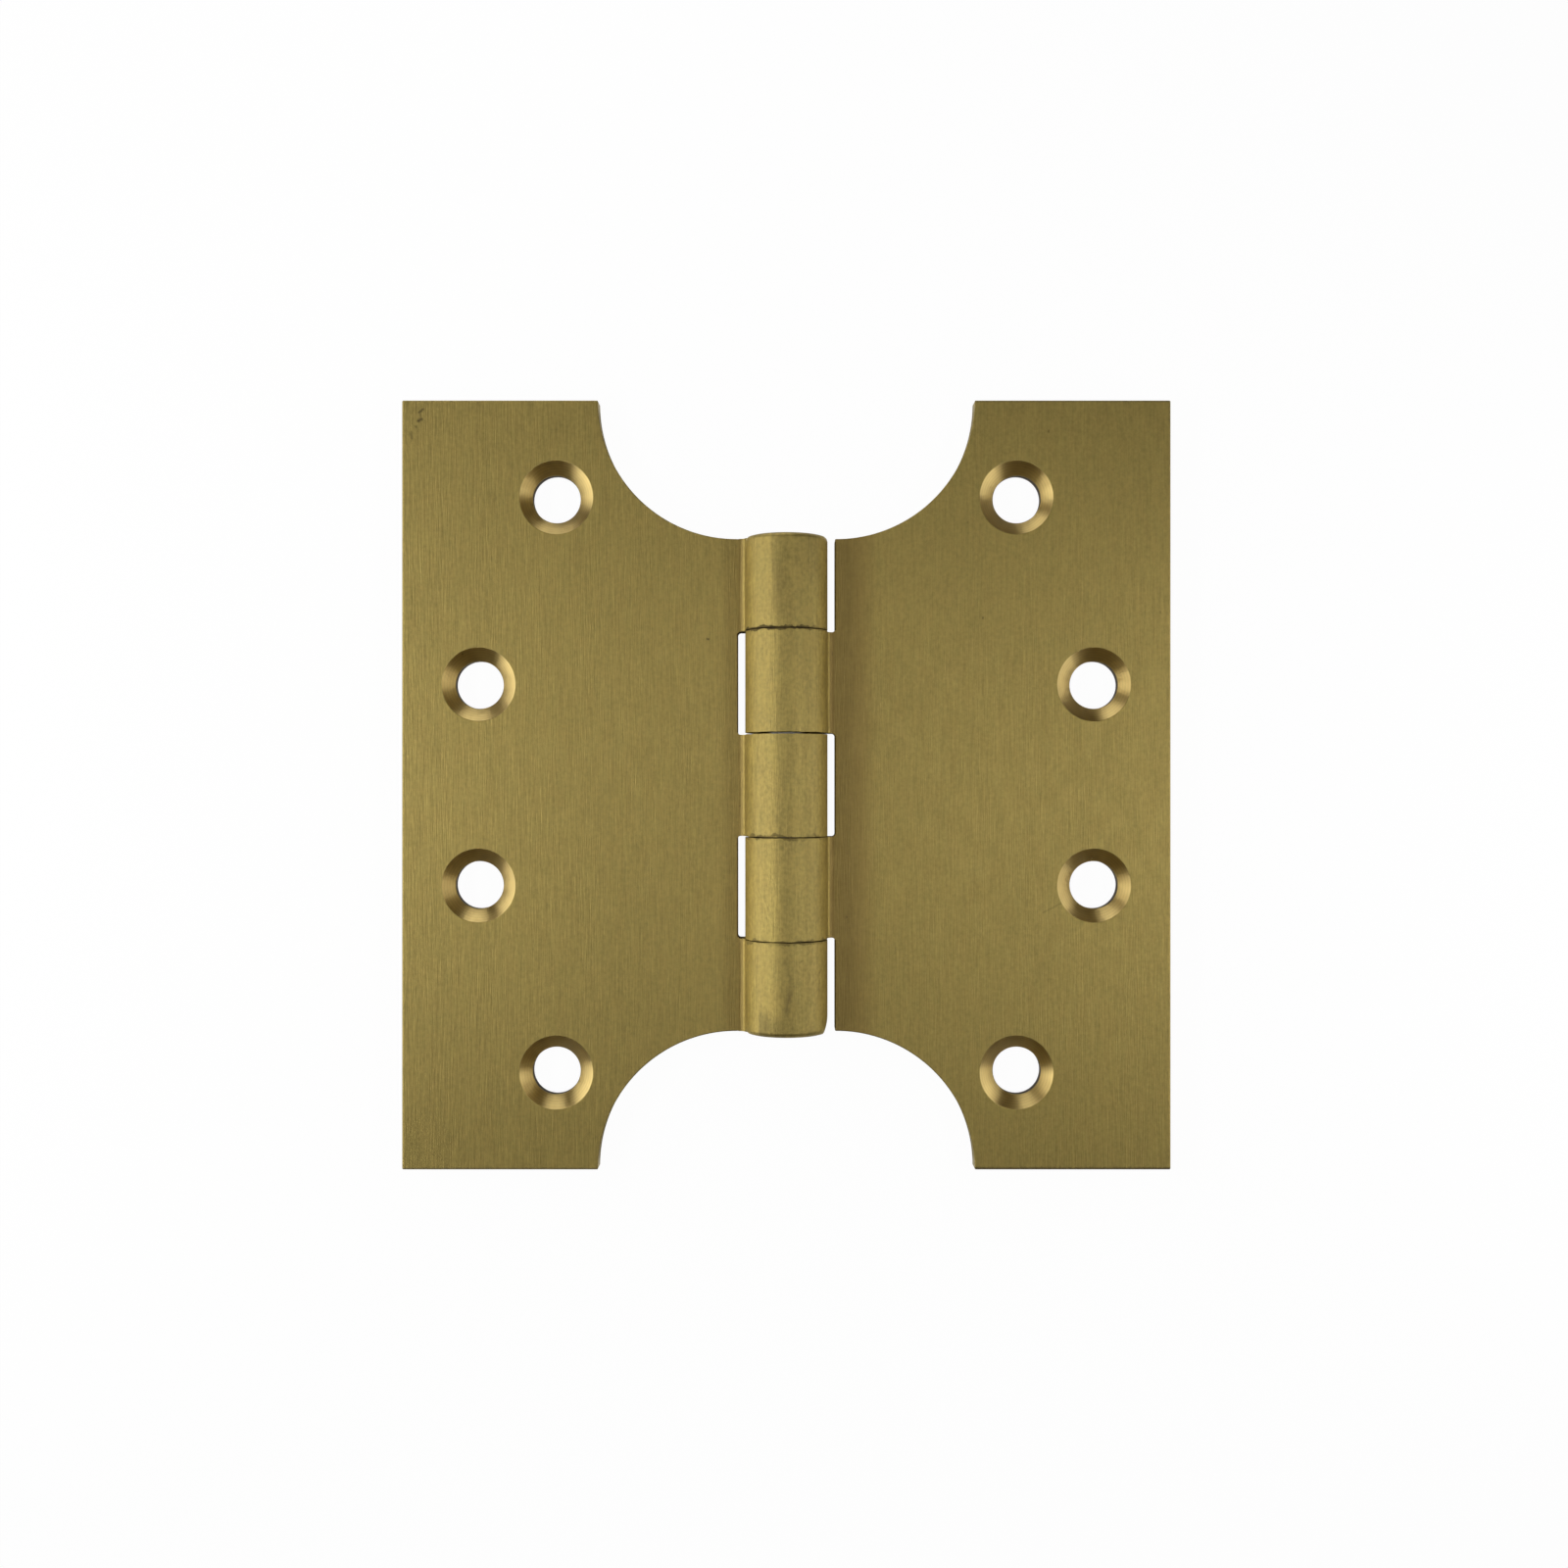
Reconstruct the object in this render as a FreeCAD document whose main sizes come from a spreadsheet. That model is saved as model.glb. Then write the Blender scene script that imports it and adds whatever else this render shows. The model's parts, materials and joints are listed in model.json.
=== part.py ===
import FreeCAD, Part
import os
import Sketcher
from FreeCAD import Vector
from math import atan2, pi, sqrt

# A solid drawn brass parliament hinge, laid open, in millimetres.
# Two H-shaped leaves are sawn from one drawn section: a flat plate with a round barrel along one edge.
# Each leaf's barrel is milled away where the other leaf's knuckles stand, and a steel pin runs through all five.
# X runs across the leaves, Y along the pin, and Z up from the table to the countersunk faces.
# The origin is on the table, under the middle of the pin.

SIZES = [
    ("open_width", 101.6, "across both leaves, laid open (4 in)"),
    ("leaf_length", 101.6, "each leaf along the pin (4 in)"),
    ("leaf_thickness", 3.0, "plate of a leaf"),
    ("leaf_edge_round", 0.3, "round on the long outer edges of the drawn section"),
    ("face_setback", 1.3, "countersunk face behind the pin's axis: half the gap between closed leaves"),
    ("barrel_diameter", 10.8, "outside of the knuckles"),
    ("barrel_length", 65.0, "all five knuckles, from end to end"),
    ("barrel_end_round", 0.5, "round on the two free ends of the barrel"),
    ("inner_knuckle", 13.5, "pitch of the three inner knuckles; the two end knuckles share the rest"),
    ("knuckle_gap", 0.15, "running gap between two knuckles"),
    ("neck_fillet", 0.8, "hollow between barrel and countersunk face"),
    ("back_fillet", 0.8, "hollow between barrel and back"),
    ("slot_width", 0.9, "daylight between a knuckle and the other leaf's edge"),
    ("slot_corner", 0.4, "inner corner left by the milling cutter"),
    ("notch_offset", 6.6, "centre of a notch's arc, out from the pin's axis"),
    ("screw_hole", 6.2, "through hole for a screw"),
    ("countersink_diameter", 9.75, "mouth of a countersink"),
    ("countersink_angle", 90.0, "full angle of a countersink, in degrees"),
    ("wing_hole_out", 30.4, "wing screw, out from the pin's axis"),
    ("wing_hole_along", 38.0, "wing screw, along from the middle"),
    ("edge_hole_out", 40.65, "outer screw, out from the pin's axis"),
    ("edge_hole_along", 13.3, "outer screw, along from the middle"),
    ("pin_diameter", 5.0, "hinge pin"),
    ("pin_clearance", 0.05, "all round the pin in the knuckles that turn on it"),
    ("pin_recess", 0.2, "pin's end below the barrel's end"),
    ("pin_chamfer", 0.4, "chamfer on the pin's ends"),
    ("worn_corner_depth", 0.45, "metal rubbed off one corner of the barrel, at its end"),
    ("worn_corner_length", 2.6, "how far along the barrel that corner is rubbed"),
    ("cut_overrun", 1.0, "how far each cut runs past the metal"),
]

BARREL_RADIUS = "Sizes.barrel_diameter / 2"
BARREL_END = "Sizes.barrel_length / 2"
LEAF_END = "Sizes.leaf_length / 2"
LEAF_EDGE = "Sizes.open_width / 2"
SLOT_EDGE = "Sizes.barrel_diameter / 2 + Sizes.slot_width"
PAST_BARREL = "Sizes.barrel_diameter / 2 + Sizes.cut_overrun"
HALF_GAP = "Sizes.knuckle_gap / 2"
INNER_JOINT = "Sizes.inner_knuckle / 2"
OUTER_JOINT = "Sizes.inner_knuckle * 3 / 2"

START, END, CENTRE = 1, 2, 3
ORIGIN = (-1, START)
X_AXIS = -1

doc = FreeCAD.newDocument("parliament_hinge")


def write_sizes():
    """The sheet of driving sizes: a name, its value and what it measures, one to a row."""
    sheet = doc.addObject("Spreadsheet::Sheet", "Sizes")
    for row, (name, value, meaning) in enumerate(SIZES, start=1):
        sheet.set(f"A{row}", name)
        sheet.set(f"B{row}", str(value))
        sheet.set(f"C{row}", meaning)
        sheet.setAlias(f"B{row}", name)
    doc.recompute()


def size(expression):
    """The value of an expression on the sheet, for a sketch's first guess."""
    return float(doc.Sizes.evalExpression(expression.replace("Sizes.", "")))


class Outline:
    """A sketch on one of its body's own planes, with every size tied to the sheet."""

    def __init__(self, body, name, plane, lift=None):
        self.sketch = body.newObject("Sketcher::SketchObject", name)
        planes = {feature.Role: feature for feature in body.Origin.OriginFeatures}
        self.sketch.AttachmentSupport = [(planes[plane], "")]
        self.sketch.MapMode = "FlatFace"
        if lift:
            self.sketch.setExpression("AttachmentOffset.Base.z", lift)

    def line(self, start, end):
        return self.sketch.addGeometry(Part.LineSegment(Vector(*start), Vector(*end)), False)

    def arc(self, centre, radius, start_angle, end_angle):
        circle = Part.Circle(Vector(*centre), Vector(0, 0, 1), radius)
        return self.sketch.addGeometry(Part.ArcOfCircle(circle, start_angle, end_angle), False)

    def circle(self, centre, radius, guide=False):
        return self.sketch.addGeometry(Part.Circle(Vector(*centre), Vector(0, 0, 1), radius), guide)

    def hold(self, kind, *places):
        """A constraint with no size, such as Tangent, on edges or on their (edge, end) points."""
        numbers = []
        for place in places:
            numbers.extend(place if isinstance(place, tuple) else (place,))
        self.sketch.addConstraint(Sketcher.Constraint(kind, *numbers))

    def measure(self, kind, name, expression, *places):
        """A constraint whose size follows the sheet."""
        numbers = []
        for place in places:
            numbers.extend(place if isinstance(place, tuple) else (place,))
        index = self.sketch.addConstraint(Sketcher.Constraint(kind, *numbers, size(expression)))
        self.sketch.renameConstraint(index, name)
        self.sketch.setExpression(f"Constraints.{name}", expression)

    def chain(self, *edges):
        """Joins edges end to start, in order."""
        for before, after in zip(edges, edges[1:]):
            self.hold("Coincident", (before, END), (after, START))


def pad(body, name, outline, length):
    """Metal on both sides of a sketch, to a total length."""
    feature = body.newObject("PartDesign::Pad", name)
    feature.Profile = outline.sketch
    feature.SideType = "Symmetric"
    feature.setExpression("Length", length)
    doc.recompute()
    return feature


def cut_through(body, name, outline):
    """A cut right through the metal on both sides of a sketch."""
    before = body.Shape.Volume
    feature = body.newObject("PartDesign::Pocket", name)
    feature.Profile = outline.sketch
    feature.SideType = "Symmetric"
    feature.Type = "ThroughAll"
    doc.recompute()
    expect_less_metal(body, before, name)
    return feature


def mirror_along_pin(body, name, *cuts):
    """The same cuts at the other end of the leaf."""
    before = body.Shape.Volume
    planes = {feature.Role: feature for feature in body.Origin.OriginFeatures}
    feature = body.newObject("PartDesign::Mirrored", name)
    feature.Originals = list(cuts)
    feature.MirrorPlane = (planes["XZ_Plane"], [""])
    body.Tip = feature
    doc.recompute()
    expect_less_metal(body, before, name)


def expect_less_metal(body, before, name):
    if body.Shape.Volume >= before:
        raise RuntimeError(f"{name} cuts nothing from {body.Label}")


def round_section(body, name, diameter):
    """A circle about the pin's axis."""
    outline = Outline(body, name, "XZ_Plane")
    ring = outline.circle((0, 0), size(diameter) / 2)
    outline.hold("Coincident", (ring, CENTRE), ORIGIN)
    outline.measure("Diameter", "across", diameter, ring)
    return outline


def plate_section(body):
    """The drawn section beside the barrel: a plate with rounded outer edges and a hollow at each neck.
    Both hollows are tangent to the plate and to the barrel."""
    barrel = size(BARREL_RADIUS)
    edge = size(LEAF_EDGE)
    face = -size("Sizes.face_setback")
    back = face - size("Sizes.leaf_thickness")
    corner = size("Sizes.leaf_edge_round")
    neck = size("Sizes.neck_fillet")
    heel = size("Sizes.back_fillet")
    neck_out = sqrt((barrel + neck) ** 2 - (face + neck) ** 2)
    heel_out = sqrt((barrel + heel) ** 2 - (back - heel) ** 2)
    neck_point = (neck_out * barrel / (barrel + neck), (face + neck) * barrel / (barrel + neck))
    heel_point = (heel_out * barrel / (barrel + heel), (back - heel) * barrel / (barrel + heel))

    outline = Outline(body, "PlateSection", "XZ_Plane")
    back_line = outline.line((heel_out, back), (edge - corner, back))
    back_corner = outline.arc((edge - corner, back + corner), corner, -pi / 2, 0)
    edge_line = outline.line((edge, back + corner), (edge, face - corner))
    face_corner = outline.arc((edge - corner, face - corner), corner, 0, pi / 2)
    face_line = outline.line((edge - corner, face), (neck_out, face))
    neck_arc = outline.arc((neck_out, face + neck), neck, atan2(-face - neck, -neck_out), pi * 3 / 2)
    inside_line = outline.line(neck_point, heel_point)
    heel_arc = outline.arc((heel_out, back - heel), heel, pi / 2, atan2(heel - back, -heel_out))
    barrel_ring = outline.circle((0, 0), barrel, guide=True)

    outline.hold("Tangent", (back_line, END), (back_corner, START))
    outline.hold("Tangent", (back_corner, END), (edge_line, START))
    outline.hold("Tangent", (edge_line, END), (face_corner, START))
    outline.hold("Tangent", (face_corner, END), (face_line, START))
    outline.hold("Tangent", (face_line, END), (neck_arc, END))
    outline.hold("Coincident", (neck_arc, START), (inside_line, START))
    outline.hold("Coincident", (inside_line, END), (heel_arc, END))
    outline.hold("Tangent", (heel_arc, START), (back_line, START))
    outline.hold("Horizontal", back_line)
    outline.hold("Vertical", edge_line)
    outline.hold("Horizontal", face_line)
    outline.hold("Coincident", (barrel_ring, CENTRE), ORIGIN)
    outline.hold("Tangent", (neck_arc, START), barrel_ring)
    outline.hold("Tangent", (heel_arc, END), barrel_ring)
    outline.hold("Equal", back_corner, face_corner)
    outline.measure("Diameter", "barrel", "Sizes.barrel_diameter", barrel_ring)
    outline.measure("Radius", "edge_round", "Sizes.leaf_edge_round", back_corner)
    outline.measure("Radius", "neck", "Sizes.neck_fillet", neck_arc)
    outline.measure("Radius", "heel", "Sizes.back_fillet", heel_arc)
    outline.measure("DistanceY", "setback", "Sizes.face_setback", (face_line, START), ORIGIN)
    outline.measure("DistanceY", "thickness", "Sizes.leaf_thickness", (back_line, END), (face_line, START))
    outline.measure("DistanceX", "reach", LEAF_EDGE, ORIGIN, (edge_line, START))
    return outline


def notch_outline(body):
    """What is cut from one end of a leaf: everything beyond the barrel's end, bounded by a quarter circle.
    The arc leaves the barrel's end line and meets the leaf's end line squarely, so its radius follows from both."""
    centre_x = size("Sizes.notch_offset")
    low = size(BARREL_END)
    high = size(LEAF_END)
    top = high + size("Sizes.cut_overrun")
    past = -size(PAST_BARREL)
    far = centre_x + high - low

    outline = Outline(body, "NotchOutline", "XY_Plane")
    arc = outline.arc((centre_x, high), high - low, -pi / 2, 0)
    right = outline.line((far, high), (far, top))
    above = outline.line((far, top), (past, top))
    left = outline.line((past, top), (past, low))
    below = outline.line((past, low), (centre_x, low))

    outline.hold("Tangent", (arc, END), (right, START))
    outline.chain(right, above, left, below)
    outline.hold("Tangent", (below, END), (arc, START))
    outline.hold("Vertical", right)
    outline.hold("Horizontal", above)
    outline.hold("Vertical", left)
    outline.hold("Horizontal", below)
    outline.measure("DistanceX", "arc_out", "Sizes.notch_offset", ORIGIN, (arc, CENTRE))
    outline.measure("DistanceY", "arc_along", LEAF_END, ORIGIN, (arc, CENTRE))
    outline.measure("DistanceY", "barrel_end", BARREL_END, ORIGIN, (arc, START))
    outline.measure("DistanceY", "overrun", "Sizes.cut_overrun", (right, START), (right, END))
    outline.measure("DistanceX", "past_barrel", PAST_BARREL, (left, START), ORIGIN)
    return outline


def slot_outline(body, name, low, high):
    """Room for one of the other leaf's knuckles, from low to high along the pin.
    The milling cutter leaves its two inner corners round."""
    bottom = size(low)
    top = size(high)
    edge = size(SLOT_EDGE)
    corner = size("Sizes.slot_corner")
    past = -size(PAST_BARREL)

    outline = Outline(body, name, "XY_Plane")
    below = outline.line((past, bottom), (edge - corner, bottom))
    low_corner = outline.arc((edge - corner, bottom + corner), corner, -pi / 2, 0)
    right = outline.line((edge, bottom + corner), (edge, top - corner))
    high_corner = outline.arc((edge - corner, top - corner), corner, 0, pi / 2)
    above = outline.line((edge - corner, top), (past, top))
    left = outline.line((past, top), (past, bottom))

    outline.hold("Tangent", (below, END), (low_corner, START))
    outline.hold("Tangent", (low_corner, END), (right, START))
    outline.hold("Tangent", (right, END), (high_corner, START))
    outline.hold("Tangent", (high_corner, END), (above, START))
    outline.chain(above, left, below)
    outline.hold("Horizontal", below)
    outline.hold("Vertical", right)
    outline.hold("Horizontal", above)
    outline.hold("Vertical", left)
    outline.hold("Equal", low_corner, high_corner)
    outline.measure("Radius", "cutter", "Sizes.slot_corner", low_corner)
    outline.measure("DistanceX", "slot_edge", SLOT_EDGE, ORIGIN, (right, START))
    outline.measure("DistanceX", "past_barrel", PAST_BARREL, (left, START), ORIGIN)
    outline.measure("DistanceY", "low", low, ORIGIN, (below, START))
    outline.measure("DistanceY", "high", high, ORIGIN, (above, END))
    return outline


def drill_screw_holes(body):
    """Four countersunk holes: one in each wing, and two near the leaf's outer edge."""
    radius = size("Sizes.screw_hole") / 2
    outline = Outline(body, "ScrewHoles", "XY_Plane", lift="-Sizes.face_setback")
    first = None
    for row in ("wing", "edge"):
        out = f"Sizes.{row}_hole_out"
        along = f"Sizes.{row}_hole_along"
        upper = outline.circle((size(out), size(along)), radius)
        lower = outline.circle((size(out), -size(along)), radius)
        outline.measure("DistanceX", f"{row}_out", out, ORIGIN, (upper, CENTRE))
        outline.measure("DistanceY", f"{row}_along", along, ORIGIN, (upper, CENTRE))
        outline.hold("Symmetric", (upper, CENTRE), (lower, CENTRE), X_AXIS)
        outline.hold("Equal", upper, lower)
        if first is None:
            first = upper
            outline.measure("Diameter", "drill", "Sizes.screw_hole", first)
        else:
            outline.hold("Equal", first, upper)
    doc.recompute()

    before = body.Shape.Volume
    holes = body.newObject("PartDesign::Hole", "Countersinks")
    holes.Profile = outline.sketch
    holes.DepthType = "ThroughAll"
    holes.HoleCutType = "Countersink"
    holes.HoleCutCustomValues = True
    holes.setExpression("Diameter", "Sizes.screw_hole")
    holes.setExpression("HoleCutDiameter", "Sizes.countersink_diameter")
    holes.setExpression("HoleCutCountersinkAngle", "Sizes.countersink_angle")
    doc.recompute()
    expect_less_metal(body, before, "Countersinks")


def rims(rod):
    """The names of a round rod's two end edges."""
    numbered = enumerate(rod.Shape.Edges, start=1)
    return [f"Edge{number}" for number, edge in numbered if isinstance(edge.Curve, Part.Circle)]


def round_barrel_ends(body, barrel):
    """Softens the outer edge at both ends of a barrel that shows its ends."""
    feature = body.newObject("PartDesign::Fillet", "BarrelEnds")
    feature.Base = (barrel, rims(barrel))
    feature.setExpression("Radius", "Sizes.barrel_end_round")
    doc.recompute()


def rub_corner(body):
    """One end of the barrel is rubbed flat on the side away from the leaf, as a short slope."""
    radius = size(BARREL_RADIUS)
    end = size(BARREL_END)
    depth = size("Sizes.worn_corner_depth")
    run = size("Sizes.worn_corner_length")
    overrun = size("Sizes.cut_overrun")

    outline = Outline(body, "WornCorner", "XY_Plane")
    slope = outline.line((-radius, end - run), (depth - radius, end))
    rise = outline.line((depth - radius, end), (depth - radius, end + overrun))
    above = outline.line((depth - radius, end + overrun), (-radius - overrun, end + overrun))
    left = outline.line((-radius - overrun, end + overrun), (-radius - overrun, end - run))
    below = outline.line((-radius - overrun, end - run), (-radius, end - run))
    outline.chain(slope, rise, above, left, below, slope)
    outline.hold("Vertical", rise)
    outline.hold("Horizontal", above)
    outline.hold("Vertical", left)
    outline.hold("Horizontal", below)
    outline.measure("DistanceX", "barrel_side", BARREL_RADIUS, (slope, START), ORIGIN)
    outline.measure("DistanceX", "depth", "Sizes.worn_corner_depth", (slope, START), (slope, END))
    outline.measure("DistanceY", "run", "Sizes.worn_corner_length", (slope, START), (slope, END))
    outline.measure("DistanceY", "barrel_end", BARREL_END, ORIGIN, (slope, END))
    outline.measure("DistanceY", "overrun", "Sizes.cut_overrun", (rise, START), (rise, END))
    outline.measure("DistanceX", "past_side", "Sizes.cut_overrun", (left, START), (slope, START))
    cut_through(body, "RubbedCorner", outline)


def new_body(label):
    """A body in its own frame, with the pin's axis on Y, lifted so that the barrel rests on the table."""
    body = doc.addObject("PartDesign::Body", label)
    body.Label = label
    body.setExpression("Placement.Base.z", BARREL_RADIUS)
    return body


def drawn_section(body, free_ends):
    """The stock that both leaves are sawn from: a barrel and its plate."""
    ring = round_section(body, "BarrelSection", "Sizes.barrel_diameter")
    barrel = pad(body, "Barrel", ring, "Sizes.barrel_length")
    if free_ends:
        round_barrel_ends(body, barrel)
    pad(body, "Plate", plate_section(body), "Sizes.leaf_length")


def outer_leaf():
    """The left leaf, with the two end knuckles, the middle knuckle and the pin's tight bore."""
    body = new_body("left_leaf")
    body.Placement.Rotation = FreeCAD.Rotation(Vector(0, 0, 1), 180)
    drawn_section(body, free_ends=True)
    notch = cut_through(body, "Notch", notch_outline(body))
    low = f"{INNER_JOINT} - {HALF_GAP}"
    high = f"{OUTER_JOINT} + {HALF_GAP}"
    slot = cut_through(body, "Slot", slot_outline(body, "SlotOutline", low, high))
    mirror_along_pin(body, "OtherEnd", notch, slot)
    rub_corner(body)
    cut_through(body, "Bore", round_section(body, "BoreSection", "Sizes.pin_diameter"))
    drill_screw_holes(body)
    return body


def inner_leaf():
    """The right leaf, with the second and fourth knuckles, which turn on the pin."""
    body = new_body("right_leaf")
    drawn_section(body, free_ends=False)
    notch = cut_through(body, "Notch", notch_outline(body))
    low = f"{OUTER_JOINT} - {HALF_GAP}"
    high = f"{BARREL_END} + Sizes.slot_corner + Sizes.cut_overrun"
    end_slot = cut_through(body, "EndSlot", slot_outline(body, "EndSlotOutline", low, high))
    mirror_along_pin(body, "OtherEnd", notch, end_slot)
    low = f"-{INNER_JOINT} - {HALF_GAP}"
    high = f"{INNER_JOINT} + {HALF_GAP}"
    cut_through(body, "MiddleSlot", slot_outline(body, "MiddleSlotOutline", low, high))
    bore = "Sizes.pin_diameter + Sizes.pin_clearance * 2"
    cut_through(body, "Bore", round_section(body, "BoreSection", bore))
    drill_screw_holes(body)
    return body


def hinge_pin():
    """A plain rod, held in the left leaf's knuckles, its chamfered ends just below the barrel's."""
    body = new_body("hinge_pin")
    length = "Sizes.barrel_length - Sizes.pin_recess * 2"
    ring = round_section(body, "RodSection", "Sizes.pin_diameter")
    rod = pad(body, "Rod", ring, length)
    ends = body.newObject("PartDesign::Chamfer", "Ends")
    ends.Base = (rod, rims(rod))
    ends.setExpression("Size", "Sizes.pin_chamfer")
    doc.recompute()
    return body


def check_document(bodies):
    for item in doc.Objects:
        faults = {"Invalid", "Error"} & set(item.State)
        if faults:
            raise RuntimeError(f"{item.Label} is {faults}")
    for body in bodies:
        if body.Shape.isNull() or not body.Shape.isValid():
            raise RuntimeError(f"{body.Label} has no valid shape")
        box = body.Shape.BoundBox
        print(
            f"{body.Label}: {len(body.Shape.Solids)} solid, {body.Shape.Volume:.0f} mm3,",
            f"x {box.XMin:.2f} to {box.XMax:.2f}, y {box.YMin:.2f} to {box.YMax:.2f},",
            f"z {box.ZMin:.2f} to {box.ZMax:.2f}",
        )


write_sizes()
bodies = [outer_leaf(), inner_leaf(), hinge_pin()]
doc.recompute()
check_document(bodies)
os.makedirs("parts", exist_ok=True)
for body in bodies:
    body.Shape.exportStep(f"parts/{body.Label}.step")
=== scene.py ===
# %% [markdown]
# # A satin brass parliament hinge
# Two H-shaped leaves are sawn from one drawn brass section and turn on a pin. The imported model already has
# every piece at its true size and place. This lesson models the two leaves again with rounder barrels,
# broken edges and small flaws, gives them a satin finish, and lights them softly from above and three sides.

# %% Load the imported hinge
import json
import math
import bmesh
import bpy
from mathutils import Matrix, Vector, noise


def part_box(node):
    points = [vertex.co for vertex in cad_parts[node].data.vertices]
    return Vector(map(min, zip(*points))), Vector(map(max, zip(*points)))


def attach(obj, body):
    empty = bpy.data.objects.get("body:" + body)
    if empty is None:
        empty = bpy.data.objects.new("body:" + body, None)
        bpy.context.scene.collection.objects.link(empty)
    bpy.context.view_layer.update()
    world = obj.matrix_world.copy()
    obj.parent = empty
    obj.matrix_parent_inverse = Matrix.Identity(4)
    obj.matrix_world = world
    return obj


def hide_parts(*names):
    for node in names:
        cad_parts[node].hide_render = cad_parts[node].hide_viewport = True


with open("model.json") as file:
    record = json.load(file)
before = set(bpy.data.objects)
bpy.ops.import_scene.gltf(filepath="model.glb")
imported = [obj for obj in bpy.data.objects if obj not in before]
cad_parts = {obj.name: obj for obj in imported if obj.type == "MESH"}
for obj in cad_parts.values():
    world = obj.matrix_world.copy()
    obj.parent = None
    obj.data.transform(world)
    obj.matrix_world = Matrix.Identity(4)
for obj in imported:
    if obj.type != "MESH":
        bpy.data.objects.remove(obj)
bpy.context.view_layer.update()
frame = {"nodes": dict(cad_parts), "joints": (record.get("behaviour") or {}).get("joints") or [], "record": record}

# %% [markdown]
# ## Sizes
# Whatever the frame can say is read from it: the leaves' reach, the pin's height and the screw holes.
# The rest are small sizes of the drawn section and of the cuts, in metres, named as a brass worker would.

# %% Sizes
MM = 0.001
mounts = {mount["name"]: mount for mount in frame["record"]["mounts"]}
pin_low, pin_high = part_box("hinge_pin")
right_low, right_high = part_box("right_leaf")

AXIS_Z = frame["joints"][0]["pos_m"][2]
LEAF_REACH = right_high.x
LEAF_END = right_high.y
BARREL_RADIUS = -right_low.x
PIN_RADIUS = (pin_high.x - pin_low.x) / 2
PIN_RECESS = 0.2 * MM
BARREL_END = pin_high.y + PIN_RECESS
BACK = mounts["right_back"]["pos_m"][2] - AXIS_Z
LEAF_THICKNESS = 3.0 * MM
FACE = BACK + LEAF_THICKNESS
EDGE_ROUND = 0.3 * MM
NECK_FILLET = 0.8 * MM
SLOT_EDGE = BARREL_RADIUS + 1.03 * MM
SLOT_CORNER = 0.4 * MM
NOTCH_OFFSET = 6.6 * MM
KNUCKLE = 13.5 * MM
HALF_GAP = 0.075 * MM
PLAY = 0.05 * MM
PIN_CLEARANCE = 0.05 * MM
SINK_RADIUS = 9.75 / 2 * MM
DRILL_PLAY = 0.06 * MM
WORN_DEPTH = 0.65 * MM
WORN_LENGTH = 2.6 * MM
OVERRUN = 1.0 * MM
INNER_JOINT = KNUCKLE / 2
OUTER_JOINT = KNUCKLE * 3 / 2


def screw_places():
    """Centres of a leaf's four screw holes, out from the pin and along it, and their radius."""
    places = []
    for name in ("right_wing_screws", "right_edge_screws"):
        out = mounts[name]["pos_m"][0]
        along = mounts[name]["dims"]["spacing_y_mm"] * MM / 2
        places += [(out, along), (out, -along)]
    return places, mounts["right_wing_screws"]["dims"]["hole_r_mm"] * MM


SCREW_PLACES, SCREW_RADIUS = screw_places()
print("leaf reaches", round(LEAF_REACH / MM, 2), "mm; barrel radius", round(BARREL_RADIUS / MM, 2), "mm")
print("screw holes at", [(round(x / MM, 2), round(y / MM, 2)) for x, y in SCREW_PLACES])

# %% [markdown]
# ## The camera
# The photo looks straight down from about 220 mm above the leaves, close enough for the barrel's ends to
# stand out past the leaves behind them. A real lens at that distance and width comes to 38.6 mm.

# %% Camera
CAMERA_HEIGHT = 222 * MM
PIXELS_PER_METRE = 7726
PHOTO_WIDTH = 1600
SENSOR = 36.0
AIM_X = -0.31 * MM
AIM_Y = 0.13 * MM

camera_data = bpy.data.cameras.new("camera")
camera_data.sensor_width = SENSOR
camera_data.lens = SENSOR * CAMERA_HEIGHT * PIXELS_PER_METRE / PHOTO_WIDTH
camera_data.clip_start = 10 * MM
camera = bpy.data.objects.new("camera", camera_data)
camera.location = (AIM_X, AIM_Y, AXIS_Z + FACE + CAMERA_HEIGHT)
bpy.context.scene.collection.objects.link(camera)
bpy.context.scene.camera = camera
print("lens", round(camera_data.lens, 2), "mm")

# %% [markdown]
# ## The drawn section
# Brass is drawn through a die into a long bar: a plate with a round barrel along one edge, and a small
# hollow where they meet, front and back. One closed loop of points holds that profile, worked out from
# tangent circles, so that no point is placed by eye. Both leaves are cut from it.

# %% Points of the drawn section
BARREL_STEP = math.radians(2.5)
HOLLOW_STEP = math.radians(12)


def arc_points(centre, radius, start, end, step):
    """Points on an arc, both ends included."""
    count = max(2, math.ceil(abs(end - start) / step))
    turns = [start + (end - start) * i / count for i in range(count + 1)]
    return [(centre[0] + radius * math.cos(t), centre[1] + radius * math.sin(t)) for t in turns]


def hollow_centre(z):
    """The centre, at height z, of a hollow's circle, which touches the barrel from outside."""
    return (math.sqrt((BARREL_RADIUS + NECK_FILLET) ** 2 - z ** 2), z)


NECK = hollow_centre(FACE + NECK_FILLET)
HEEL = hollow_centre(BACK - NECK_FILLET)


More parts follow.
